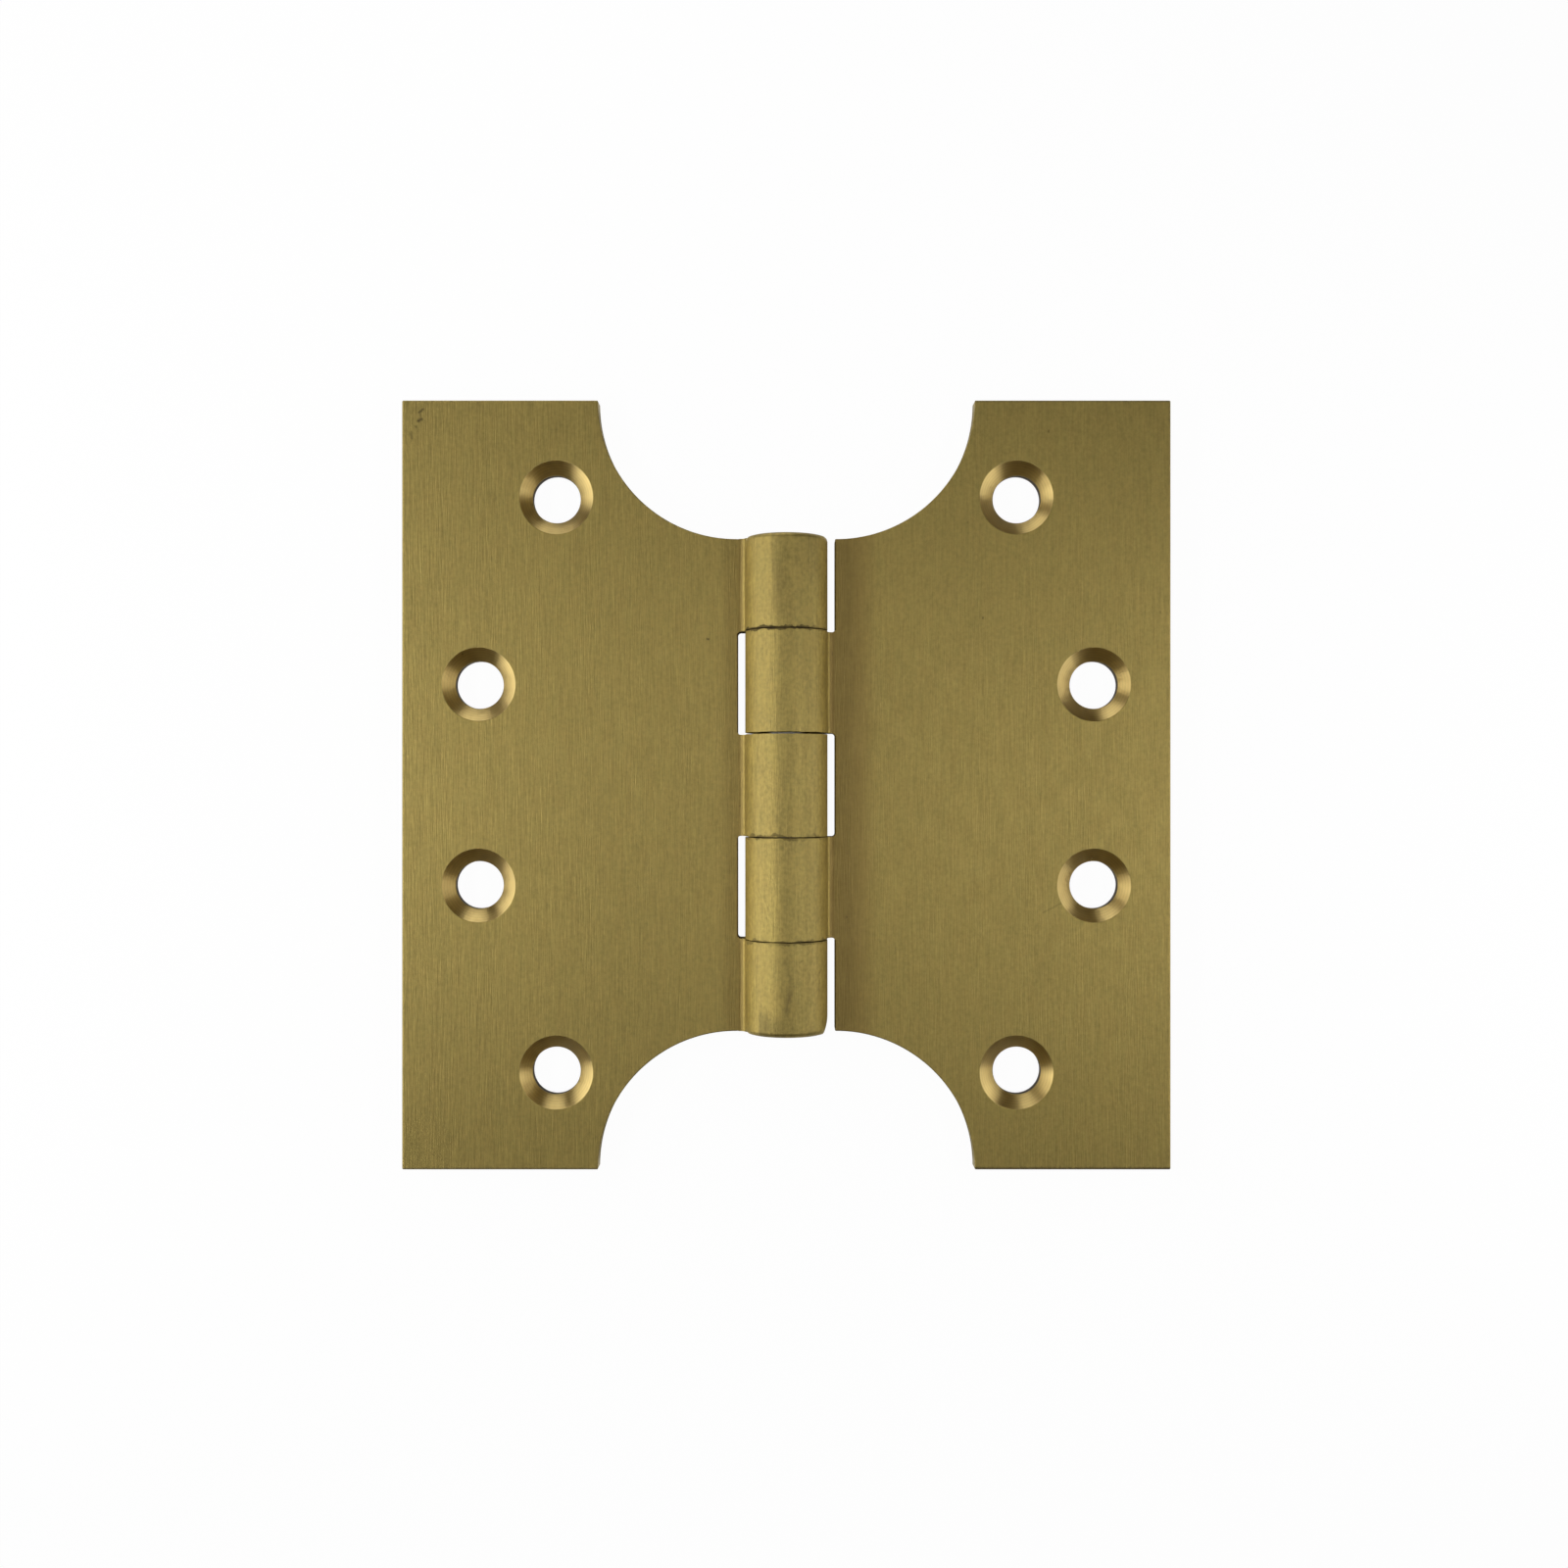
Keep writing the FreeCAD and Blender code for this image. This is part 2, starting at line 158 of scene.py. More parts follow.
def section_points():
    """The section seen along the pin, about its axis, with the plate towards +x."""
    neck_turn = math.atan2(NECK[1], NECK[0])
    heel_turn = math.atan2(HEEL[1], HEEL[0])
    outer = LEAF_REACH - EDGE_ROUND
    loop = arc_points((outer, BACK + EDGE_ROUND), EDGE_ROUND, -math.pi / 2, 0, HOLLOW_STEP)
    loop += arc_points((outer, FACE - EDGE_ROUND), EDGE_ROUND, 0, math.pi / 2, HOLLOW_STEP)
    loop += arc_points(NECK, NECK_FILLET, math.pi * 3 / 2, neck_turn + math.pi, HOLLOW_STEP)
    loop += arc_points((0, 0), BARREL_RADIUS, neck_turn, heel_turn + math.tau, BARREL_STEP)[1:-1]
    loop += arc_points(HEEL, NECK_FILLET, heel_turn + math.pi, math.pi / 2, HOLLOW_STEP)
    return loop


SECTION = section_points()
print("drawn section:", len(SECTION), "points")

# %% [markdown]
# ## Bars, cutters and saws
# A solid here is an outline swept along a straight line: the section along the pin, a notch or a slot
# through the plate. Holes are turned profiles. Cutting one solid with another is Blender's exact Boolean,
# which leaves the crisp, flat-faced result that milling and sawing leave.

# %% Solids
def mesh_object(name, points, faces):
    """A new object in the scene, with every face turned outwards."""
    mesh = bpy.data.meshes.new(name)
    mesh.from_pydata(points, [], faces)
    work = bmesh.new()
    work.from_mesh(mesh)
    bmesh.ops.recalc_face_normals(work, faces=work.faces)
    work.to_mesh(mesh)
    work.free()
    piece = bpy.data.objects.new(name, mesh)
    bpy.context.scene.collection.objects.link(piece)
    return piece


def swept(name, low_ring, high_ring):
    """A closed solid between two rings of points."""
    count = len(low_ring)
    sides = [(i, (i + 1) % count, count + (i + 1) % count, count + i) for i in range(count)]
    caps = [tuple(range(count)), tuple(range(count, 2 * count))]
    return mesh_object(name, low_ring + high_ring, sides + caps)


def bar_along_pin(name, loop, end):
    """A bar with this section, as far both ways from the middle of the pin."""
    low = [(x, -end, z) for x, z in loop]
    high = [(x, end, z) for x, z in loop]
    return swept(name, low, high)


def punch(name, loop):
    """A cutter through the plate, from above the barrel to below it."""
    reach = BARREL_RADIUS + OVERRUN
    low = [(x, y, -reach) for x, y in loop]
    high = [(x, y, reach) for x, y in loop]
    return swept(name, low, high)


def turned_cutter(name, profile, centre, steps=100):
    """A cutter turned about an upright axis, from (radius, height) points, bottom to top."""
    turns = [math.tau * i / steps for i in range(steps)]
    points = [
        (centre[0] + radius * math.cos(t), centre[1] + radius * math.sin(t), height)
        for radius, height in profile
        for t in turns
    ]
    faces = []
    for low in range(0, (len(profile) - 1) * steps, steps):
        high = low + steps
        for i in range(steps):
            after = (i + 1) % steps
            faces.append((low + i, low + after, high + after, high + i))
    last = (len(profile) - 1) * steps
    faces += [tuple(range(steps)), tuple(range(last, last + steps))]
    return mesh_object(name, points, faces)


def cut(piece, cutters):
    """Takes each cutter away from the piece, and throws the cutters away."""
    for cutter in cutters:
        modifier = piece.modifiers.new(cutter.name, "BOOLEAN")
        modifier.operation = "DIFFERENCE"
        modifier.solver = "EXACT"
        modifier.object = cutter
    apply_modifiers(piece)
    for cutter in cutters:
        bpy.data.objects.remove(cutter)


def apply_modifiers(piece):
    """Makes the shape that the modifiers show the piece's own."""
    graph = bpy.context.evaluated_depsgraph_get()
    finished = bpy.data.meshes.new_from_object(piece.evaluated_get(graph))
    piece.modifiers.clear()
    piece.data = finished


print("cutters reach", OVERRUN / MM, "mm past whatever they cut")

# %% [markdown]
# ## The cuts
# A notch is a quarter circle that starts level with the barrel's end and meets the leaf's end squarely.
# A slot clears one of the other leaf's knuckles and keeps the milling cutter's round corners. A countersink
# is a 90 degree cone over a straight hole, drilled a hair off its middle. Each outline is worked out from the
# sizes above. In the photo the left leaf has slid down the pin by its play, so the joints are wide and narrow
# by turns, and a burr nearly closes the lowest.

# %% Outlines of the cuts
PAST_BARREL = -BARREL_RADIUS - OVERRUN
NOTCH_STEP = math.radians(1.5)
SLOT_STEP = math.radians(11)
BORE_STEP = math.radians(5)


def notch_cutter(end):
    """end is 1 for the leaf's upper end and -1 for its lower one."""
    radius = LEAF_END - BARREL_END
    loop = arc_points((NOTCH_OFFSET, LEAF_END), radius, -math.pi / 2, 0, NOTCH_STEP)
    loop += [(NOTCH_OFFSET + radius, LEAF_END + OVERRUN)]
    loop += [(PAST_BARREL, LEAF_END + OVERRUN), (PAST_BARREL, BARREL_END)]
    return punch("notch", [(x, y * end) for x, y in loop])


def slot_cutter(low, high):
    """The room for a knuckle of the other leaf, between two places along the pin."""
    corner = SLOT_EDGE - SLOT_CORNER
    loop = [(PAST_BARREL, high), (PAST_BARREL, low)]
    loop += arc_points((corner, low + SLOT_CORNER), SLOT_CORNER, -math.pi / 2, 0, SLOT_STEP)
    loop += arc_points((corner, high - SLOT_CORNER), SLOT_CORNER, 0, math.pi / 2, SLOT_STEP)
    return punch("slot", loop)


def bore_cutter(radius):
    turns = arc_points((0, 0), radius, 0, math.tau, BORE_STEP)[:-1]
    return bar_along_pin("bore", turns, BARREL_END + OVERRUN)


def screw_cutters(place, aside):
    """A drilled hole and its countersink. The hole's centre is further from the pin by the aside distance."""
    x, y = place
    drilled = SCREW_RADIUS + DRILL_PLAY
    drill = [(drilled, BACK - OVERRUN), (drilled, FACE + OVERRUN)]
    tip = FACE - SINK_RADIUS + OVERRUN
    cone = [(OVERRUN, tip), (SINK_RADIUS, FACE), (SINK_RADIUS + OVERRUN, FACE + OVERRUN)]
    return [turned_cutter("screw hole", drill, (x + aside, y)), turned_cutter("countersink", cone, place)]


def leaf_blank(name, slots, bore, aside):
    """One leaf with its plate towards +x: the drawn bar with everything cut from it."""
    leaf = bar_along_pin(name, SECTION, LEAF_END)
    cutters = [notch_cutter(1), notch_cutter(-1)]
    cutters += [slot_cutter(low, high) for low, high in slots]
    cutters += [bore_cutter(bore)]
    for place in SCREW_PLACES:
        cutters += screw_cutters(place, aside)
    cut(leaf, cutters)
    return leaf


BEYOND = BARREL_END + SLOT_CORNER + OVERRUN
BURR = 0.09 * MM
LEFT_SLOTS = [
    (INNER_JOINT - HALF_GAP + PLAY, OUTER_JOINT + HALF_GAP + PLAY - BURR),
    (-OUTER_JOINT - HALF_GAP + PLAY, -INNER_JOINT + HALF_GAP + PLAY),
]
RIGHT_SLOTS = [
    (OUTER_JOINT - HALF_GAP, BEYOND),
    (-INNER_JOINT - HALF_GAP, INNER_JOINT + HALF_GAP),
    (-BEYOND, -OUTER_JOINT + HALF_GAP),
]
LEFT_ASIDE = 0.15 * MM
RIGHT_ASIDE = 0.25 * MM
left_leaf = leaf_blank("left_leaf_brass", LEFT_SLOTS, PIN_RADIUS, LEFT_ASIDE)
right_leaf = leaf_blank("right_leaf_brass", RIGHT_SLOTS, PIN_RADIUS + PIN_CLEARANCE, RIGHT_ASIDE)
for leaf in (left_leaf, right_leaf):
    print(leaf.name, "is cut:", len(leaf.data.polygons), "faces")

# %% [markdown]
# ## Broken edges
# Nothing sawn stays knife sharp: the leaf's outline is linished, the countersinks have a hair of a rim and
# the barrel's free ends are properly rounded. Every sharp edge gets a bevel whose width depends on where
# it is, which is what edge weights are for. The tight corners beside the barrel stay sharp, because a bevel
# would fold over itself there. Big flat faces keep flat shading through weighted normals.

# %% Bevels
BARREL_ROUND = 0.65 * MM
OUTLINE_BREAK = 0.14 * MM
RIM_BREAK = 0.06 * MM
SINK_BREAK = 0.06 * MM
CLOSE = 0.03 * MM
MERGE = 0.02 * MM
FLAT_ANGLE = math.radians(0.05)
SHARP_ANGLE = math.radians(30)


def edge_break(middle):
    """How wide the bevel is on an edge, from the place of its middle."""
    from_pin = math.hypot(middle.x, middle.z)
    along = abs(middle.y)
    for out, at in SCREW_PLACES:
        if math.hypot(middle.x - out, middle.y - at) < SINK_RADIUS + CLOSE:
            return SINK_BREAK
    if from_pin < BARREL_RADIUS + CLOSE:
        free_end = along > BARREL_END - CLOSE and from_pin > BARREL_RADIUS - CLOSE
        return BARREL_ROUND if free_end else RIM_BREAK
    return 0 if middle.x < SLOT_EDGE - CLOSE else OUTLINE_BREAK


def break_edges(leaf):
    """Tidies the cut mesh, weighs its sharp edges and bevels them."""
    work = bmesh.new()
    work.from_mesh(leaf.data)
    bmesh.ops.remove_doubles(work, verts=work.verts, dist=MERGE)
    bmesh.ops.dissolve_limit(
        work, angle_limit=FLAT_ANGLE, verts=work.verts, edges=work.edges, delimit={"NORMAL"}
    )
    weight = work.edges.layers.float.new("bevel_weight_edge")
    count = 0
    for edge in work.edges:
        if len(edge.link_faces) == 2 and edge.calc_face_angle() > SHARP_ANGLE:
            middle = (edge.verts[0].co + edge.verts[1].co) / 2
            edge[weight] = edge_break(middle) / BARREL_ROUND
            count += 1
    work.to_mesh(leaf.data)
    work.free()
    bevel = leaf.modifiers.new("bevel", "BEVEL")
    bevel.limit_method = "WEIGHT"
    bevel.width = BARREL_ROUND
    bevel.segments = 3
    bevel.use_clamp_overlap = False
    apply_modifiers(leaf)
    print(leaf.name, "has", count, "broken edges and now", len(leaf.data.polygons), "faces")


for leaf in (left_leaf, right_leaf):
    break_edges(leaf)

# %% [markdown]
# ## A rubbed corner
# One end of the left leaf's barrel is rubbed down on the side away from its plate. The barrel gets a few
# more rings of points there, and whatever stands out past the worn line is pulled back to it.

# %% Rubbed corner
WORN_RINGS = 8


def worn_line(y):
    """How far from the axis the metal still reaches at this place along the pin."""
    worn = min(1, max(0, (y - BARREL_END + WORN_LENGTH) / WORN_LENGTH))
    return BARREL_RADIUS - WORN_DEPTH * worn ** 2


def rub_corner(leaf):
    """Adds rings of points near one end of the barrel and pulls them back to the worn line."""
    work = bmesh.new()
    work.from_mesh(leaf.data)
    for i in range(WORN_RINGS):
        y = BARREL_END - BARREL_ROUND - (WORN_LENGTH - BARREL_ROUND) * i / WORN_RINGS
        near = [face for face in work.faces if face.calc_center_median().x < -BARREL_RADIUS / 2]
        parts = near + list({edge for face in near for edge in face.edges})
        parts += list({vertex for face in near for vertex in face.verts})
        bmesh.ops.bisect_plane(work, geom=parts, plane_co=(0, y, 0), plane_no=(0, 1, 0), dist=CLOSE / 10)
    rubbed = [vertex for vertex in work.verts if vertex.co.x < -worn_line(vertex.co.y)]
    for vertex in rubbed:
        vertex.co.x = -worn_line(vertex.co.y)
    work.to_mesh(leaf.data)
    work.free()
    print(leaf.name, "has", len(rubbed), "points rubbed back")


rub_corner(left_leaf)

# %% [markdown]
# ## Milled knuckle ends
# The knuckles were parted with a saw, and the joints in the photo wander by a few hundredths of a
# millimetre, with small burrs. Moving the points of each rim along the pin by smooth noise does the same.
# The move stays under half the running gap, so the knuckles never meet.

# %% Uneven rims
RIM_WANDER = 0.05 * MM
RIM_REACH = 0.2 * MM
RIM_DEPTH = 0.6 * MM
WANDER_SCALE = 900


def roughen_rims(leaf, seed):
    """Moves the points of each knuckle's rim along the pin. The seed gives each leaf its own noise."""
    joints = [INNER_JOINT, OUTER_JOINT, -INNER_JOINT, -OUTER_JOINT]
    moved = 0
    for vertex in leaf.data.vertices:
        x, y, z = vertex.co
        outside = BARREL_RADIUS - RIM_DEPTH < math.hypot(x, z) < BARREL_RADIUS + CLOSE
        for joint in joints:
            if outside and abs(y - joint) < RIM_REACH:
                place = Vector((x * WANDER_SCALE, joint * WANDER_SCALE + seed, z * WANDER_SCALE))
                vertex.co.y += RIM_WANDER * noise.noise(place)
                moved += 1
    print(leaf.name, "has", moved, "rim points moved")


roughen_rims(left_leaf, seed=3.0)
roughen_rims(right_leaf, seed=11.0)

# %% [markdown]
# ## Into place
# Both leaves were modelled with the plate towards +x and the pin's axis at zero. The left leaf is turned
# half way round, which its symmetry allows, and both are lifted to the pin's height. Then they take over
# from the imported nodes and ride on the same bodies.

# %% Place the leaves
def settle(leaf, turn):
    """Turns a leaf about the upright axis, lifts it to the pin's height and sets its shading."""
    leaf.data.transform(Matrix.Translation((0, 0, AXIS_Z)) @ Matrix.Rotation(turn, 4, "Z"))
    leaf.data.shade_smooth()
    leaf.data.set_sharp_from_angle(angle=SHARP_ANGLE)
    flat = leaf.modifiers.new("weighted normals", "WEIGHTED_NORMAL")
    flat.keep_sharp = True
    flat.weight = 100
    apply_modifiers(leaf)


settle(left_leaf, math.pi)
settle(right_leaf, 0)
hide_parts("left_leaf")
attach(left_leaf, "left")
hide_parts("right_leaf")
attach(right_leaf, "right")

# %% [markdown]
# ## Sums on sockets
# A finish is a sum of patterns: grain, mottling, specks, dirt. Writing those sums as Python expressions
# keeps them readable. One small class wraps a socket, and its operators add the Math nodes. Every node, of
# any kind, comes from one function that sets it up before it fills its sockets.

# %% Nodes and socket sums
WHITE = (1.0, 1.0, 1.0, 1.0)


def plug(tree, target, value):
    """A socket takes a link, or a plain value."""
    if isinstance(value, Sum):
        tree.links.new(value.socket, target)
    else:
        target.default_value = value


def add_node(tree, kind, values=None, settings=None, output=0):
    """Adds any node: its settings first, then the values or links of its sockets, by name or number."""
    node = tree.nodes.new(kind)
    for name, value in (settings or {}).items():
        setattr(node, name, value)
    for key, value in (values or {}).items():
        plug(tree, node.inputs[key], value)
    return node if output is None else Sum(tree, node.outputs[output])


class Sum:
    """A socket of numbers that can be used in Python sums."""

    def __init__(self, tree, socket):
        self.tree = tree
        self.socket = socket

    def math(self, operation, *values):
        return add_node(self.tree, "ShaderNodeMath", dict(enumerate(values)), {"operation": operation})

    def __add__(self, other):
        return self.math("ADD", self, other)

    def __sub__(self, other):
        return self.math("SUBTRACT", self, other)

    def __rsub__(self, other):
        return self.math("SUBTRACT", other, self)

    def __mul__(self, other):
        return self.math("MULTIPLY", self, other)

    def __truediv__(self, other):
        return self.math("DIVIDE", self, other)

    def __rtruediv__(self, other):
        return self.math("DIVIDE", other, self)

    __radd__ = __add__
    __rmul__ = __mul__

    def size(self):
        return self.math("ABSOLUTE", self)

    def least(self, other):
        return self.math("MINIMUM", self, other)

    def most(self, other):
        return self.math("MAXIMUM", self, other)

    def length(self, other):
        """The length of the arrow that has these two numbers as its sides."""
        squares = self * self + other * other
        return squares.math("SQRT", squares)

    def below(self, limit, soft):
        """1 where this number is below the limit, easing to 0 over the soft width."""
        return self.ramp(limit, limit - soft)

    def ramp(self, zero, one):
        """0 at the first number and 1 at the second, eased between and held beyond."""
        values = {0: self, 1: min(zero, one), 2: max(zero, one)}
        result = add_node(self.tree, "ShaderNodeMapRange", values, {"interpolation_type": "SMOOTHSTEP"})
        return result if zero < one else 1 - result


class Finish:
    """A material under construction, with the object's own coordinates to build it from."""

    def __init__(self, name):
        self.material = bpy.data.materials.new(name)
        self.material.use_nodes = True
        self.tree = self.material.node_tree
        self.shader = self.tree.nodes["Principled BSDF"]
        self.place = self.node("ShaderNodeTexCoord", output="Object")
        split = self.node("ShaderNodeSeparateXYZ", {"Vector": self.place}, output=None)
        self.x, self.y, self.z = [Sum(self.tree, socket) for socket in split.outputs]

    def node(self, kind, values=None, settings=None, output=0):
        return add_node(self.tree, kind, values, settings, output)

    def noise(self, across, along, up, detail=2.0, roughness=0.5):
        """Smooth noise about a half, with so many periods per metre in each direction."""
        values = {0: self.place, 1: (across, along, up)}
        place = self.node("ShaderNodeVectorMath", values, {"operation": "MULTIPLY"})
        values = {"Vector": place, "Scale": 1.0, "Detail": detail, "Roughness": roughness}
        return self.node("ShaderNodeTexNoise", values)

    def mix(self, factor, first, second):
        values = {0: factor, 6: first, 7: second}
        return self.node("ShaderNodeMix", values, {"data_type": "RGBA"}, output=2)

    def tint(self, colour, amount):
        """A colour times a number that varies over the surface."""
        values = {0: colour, "Scale": amount}
        return self.node("ShaderNodeVectorMath", values, {"operation": "SCALE"})

    def bump(self, height, distance):
        return self.node("ShaderNodeBump", {"Height": height, "Distance": distance, "Strength": 1.0})

    def set(self, **sockets):
        """Fills the shader's own sockets, by name."""
        for name, value in sockets.items():
            plug(self.tree, self.shader.inputs[name.replace("_", " ")], value)


print("one function adds every node; sums add the Math nodes")

# %% [markdown]
# ## Satin brass
# The leaves were linished along the pin and left bare. Close up that is a fine grain of long scratches under
# a faint mottling of tarnish. Image textures could paint it, but noise in the object's own coordinates needs
# no unwrapping and follows the metal round the barrel. The grain is noise stretched along the pin.

# %% Grain and mottling
BRASS_OLIVE = (0.258, 0.198, 0.053, 1.0)
BRASS_WARM = (0.263, 0.197, 0.053, 1.0)
# How strongly each pattern darkens and lightens the brass. The barrel has more of two of them.
GRAIN = 0.26
SCRATCHES = 0.25
SPECKLE = 0.45
TARNISH = 0.10
CLOUD = 0.10
BARREL_CLOUD = 0.42
BARREL_SPECKLE = 0.28


def on_barrel(finish):
    """1 on the barrel and 0 on the plates."""
    return finish.x.size().below(BARREL_RADIUS + 0.35 * MM, 0.15 * MM)


def worn_brass(finish, barrel):
    """The leaf's colour: its grain, its tarnish, and the cloudier barrel."""
    hue = finish.noise(700, 300, 700, detail=2.0)
    colour = finish.mix(hue.ramp(0.3, 0.7), BRASS_OLIVE, BRASS_WARM)
    grain = finish.noise(2700, 110, 2700, detail=2.0) - 0.5
    scratches = finish.noise(6200, 300, 6200, detail=2.0) - 0.5
    speckle = finish.noise(2300, 1900, 2300, detail=2.0) - 0.5
    cloud = finish.noise(480, 330, 480, detail=3.0) - 0.5
    tarnish = finish.noise(60, 35, 60, detail=1.0) - 0.5
    shade = 1 + grain * GRAIN + scratches * SCRATCHES + speckle * SPECKLE + tarnish * TARNISH
    shade = shade + cloud * (barrel * BARREL_CLOUD + CLOUD) + speckle * barrel * BARREL_SPECKLE
    return finish.tint(colour, shade), scratches, cloud


print("the brass mixes", BRASS_OLIVE[:3], "and", BRASS_WARM[:3])

# %% [markdown]
# ## Marks
# Every used hinge has its own few marks, and this one's are plain in the photo: a nick at one corner, a faint
# scrape beside a screw hole, pin-prick specks, smears on the two end knuckles. Each is a stroke, which is a
# stretch of line with soft edges, so a mark is where the surface lies near that line.
# Three strokes along the leaves' ends are painted shade on their broken edges.

# %% Strokes
# Each row has a stroke's two ends, its half width and its strength. Sizes are in millimetres.
FACE_MARKS_AND_EDGE_SHADE = [
    (-47.98, 49.60, -48.49, 49.24, 0.26, 0.70),
    (-48.35, 49.20, -48.30, 48.50, 0.18, 0.40),
    (-48.60, 48.12, -48.20, 48.32, 0.34, 0.85),
    (-48.98, 47.33, -48.90, 47.33, 0.26, 0.50),
    (-49.56, 46.60, -49.46, 45.80, 0.26, 0.40),
    (-10.41, 19.29, -10.30, 19.25, 0.26, 0.85),
    (25.96, 22.13, 25.96, 22.00, 0.20, 0.60),
    (34.64, 46.83, 34.64, 46.63, 0.22, 0.55),
    (49.39, 22.90, 49.39, 22.70, 0.20, 0.40),
    (23.96, 34.75, 23.96, 34.65, 0.20, 0.35),
    (-6.13, 1.68, -6.13, 1.60, 0.15, 0.60),
    (-6.13, -2.72, -6.13, -2.80, 0.15, 0.60),
    (36.45, -15.53, 33.99, -16.83, 0.22, 0.30),
    (7.97, -17.47, 7.97, -17.40, 0.20, 0.60),
    (6.10, 17.50, 6.10, 17.20, 0.15, 0.50),
    # These three rows are painted shade: dark lines along the leaves' ends, on their broken edges.
    (25.00, -50.68, 50.60, -50.68, 0.34, 0.80),
    (-50.60, -50.68, -25.00, -50.68, 0.26, 0.45),
    (25.00, 50.68, 50.60, 50.68, 0.24, 0.25),
]
BARREL_MARKS = [
    (0.50, -24.60, 0.45, -26.90, 0.40, 0.16),
    (0.40, -27.00, -0.05, -29.10, 0.34, 0.50),
    (0.50, -26.60, -0.05, -29.20, 0.75, 0.34),
    (2.10, -22.60, 1.70, -22.80, 0.22, 0.35),
    (4.50, -23.90, 4.30, -24.30, 0.20, 0.35),
    (0.30, 22.90, 0.90, 22.60, 0.30, 0.15),
]
CONE_MARKS = [
    (32.55, 40.10, 33.10, 39.70, 0.16, 0.80),
    (33.10, 39.70, 33.45, 38.95, 0.16, 0.90),
]


def stroke(finish, wobble, mark):
    """Near 1 on a line from one point to another, seen from above, and 0 beyond its half width."""
    x0, y0, x1, y1, half_width, strength = mark
    dx, dy = x1 - x0, y1 - y0
    far_x = finish.x / MM - x0
    far_y = finish.y / MM - y0
    along = (far_x * dx + far_y * dy) / (dx * dx + dy * dy)
    along = along.most(0).least(1)
    away = (far_x - along * dx).length(far_y - along * dy)
    return (away + wobble * half_width).below(half_width, half_width) * strength


def strongest(sums):
    """The largest of several sums, point by point."""
    largest = sums[0]
    for other in sums[1:]:
        largest = largest.most(other)
    return largest


def strokes(finish, wobble, places):
    return strongest([stroke(finish, wobble, mark) for mark in places])


def marks(finish, barrel):
    """The marks on the face and barrel, with the painted shade along the leaves' ends, and those in a countersink,
    on the countersunk side only.
    """
    wobble = finish.noise(3000, 3000, 3000, detail=2.0) - 0.5
    face_marks_and_edge_shade = strokes(finish, wobble, FACE_MARKS_AND_EDGE_SHADE)
    on_round = strokes(finish, wobble, BARREL_MARKS)
    front = finish.z.ramp(AXIS_Z + FACE - 0.5 * MM, AXIS_Z + FACE - 0.1 * MM)
    return face_marks_and_edge_shade.most(on_round * barrel) * front, strokes(finish, wobble, CONE_MARKS)


print(len(FACE_MARKS_AND_EDGE_SHADE) + len(BARREL_MARKS) + len(CONE_MARKS), "marks")

# %% [markdown]
# ## Dirt in the joints
# Oil and filings have worked into the joints between knuckles and blackened their rims, most of all the
# first. The distance along the pin to each joint plane, roughened by noise, gives a ragged line.

# %% Joint dirt
# Also the colour of the painted shade along the leaves' ends.
DIRT_AND_EDGE_SHADE = (0.058, 0.040, 0.013, 1.0)
# Each row has a joint's place, the line's half width and wander in millimetres, and its strength.
JOINT_DIRT = [
    (OUTER_JOINT, 0.30, 1.20, 0.86),
    (INNER_JOINT, 0.17, 0.10, 0.75),
    (-INNER_JOINT, 0.30, 1.80, 0.55),
    (-OUTER_JOINT, 0.32, 1.50, 0.50),
]


def joint_dirt(finish, barrel):
    """Ragged dark lines where the knuckles meet, fading and gathering along each line."""
    wander = finish.noise(700, 40, 700, detail=3.0, roughness=0.6) - 0.5
    ragged = finish.noise(1900, 1500, 1900, detail=2.0) - 0.5
    fade = finish.noise(430, 90, 430, detail=2.0).ramp(0.32, 0.62) * 0.75 + 0.25
    lines = []
    for joint, half_width, swing, strength in JOINT_DIRT:
        middle = joint - PLAY / 2 + wander * (swing * MM)
        away = (finish.y - middle).size() + ragged * (2.2 * half_width * MM)
        lines.append(away.below(half_width * MM, 0.12 * MM) * strength)
    return strongest(lines) * fade * barrel


print("dirt at", [round(row[0] / MM, 2) for row in JOINT_DIRT], "mm along the pin")

# %% [markdown]
# ## Turned countersinks
# The countersinks were cut after the linishing, so their brass is cleaner, smoother and paler than the face.
# The cutter leaves fine rings about each hole. Both leaves are symmetric, so with x and y made positive the
# distance from the nearest of two holes serves all eight.
# The drilled wall below each cone is painted dark brown as shade.

# %% Countersink masks
CUT_BRASS = (0.500, 0.380, 0.150, 1.0)
# Painted shade on the drilled walls, also the colour of the chip in one countersink.
BORE_SHADE_AND_CHIP_BROWN = (0.060, 0.040, 0.014, 1.0)
RING_PITCH = 0.13 * MM
TOOL_PITCH = 0.31 * MM
RING_DEPTH = 0.0050 * MM
TURNING = 0.06
CONE_CLOUD = 0.5


def from_screw(finish):
    """How far each point is from the middle of its nearest screw hole."""
    across = finish.x.size()
    along = finish.y.size()
    wing, edge = SCREW_PLACES[0], SCREW_PLACES[2]
    to_wing = (across - wing[0]).length(along - wing[1])
    to_edge = (across - edge[0]).length(along - edge[1])
    return to_wing.least(to_edge)


def in_countersink(finish, screw):
    """The masks of the cone and of the drilled wall below it."""
    under_cone = (AXIS_Z + FACE - finish.z) - (SINK_RADIUS - screw)
    wall = under_cone.ramp(0.04 * MM, 0.12 * MM) * screw.below(SCREW_RADIUS + 0.4 * MM, 0.05 * MM)
    cone = screw.below(SINK_RADIUS + 0.02 * MM, 0.04 * MM)
    front = finish.z.ramp(AXIS_Z + BACK + 0.05 * MM, AXIS_Z + BACK + 0.25 * MM)
    return cone * front * (1 - wall), wall


def wave(distance, pitch):
    """Rings at a pitch, as a smooth wave."""
    turn = distance * (math.tau / pitch)
    return turn.math("SINE", turn)


print("turned rings every", round(RING_PITCH / MM, 2), "mm; rings of colour every", round(TOOL_PITCH / MM, 2))
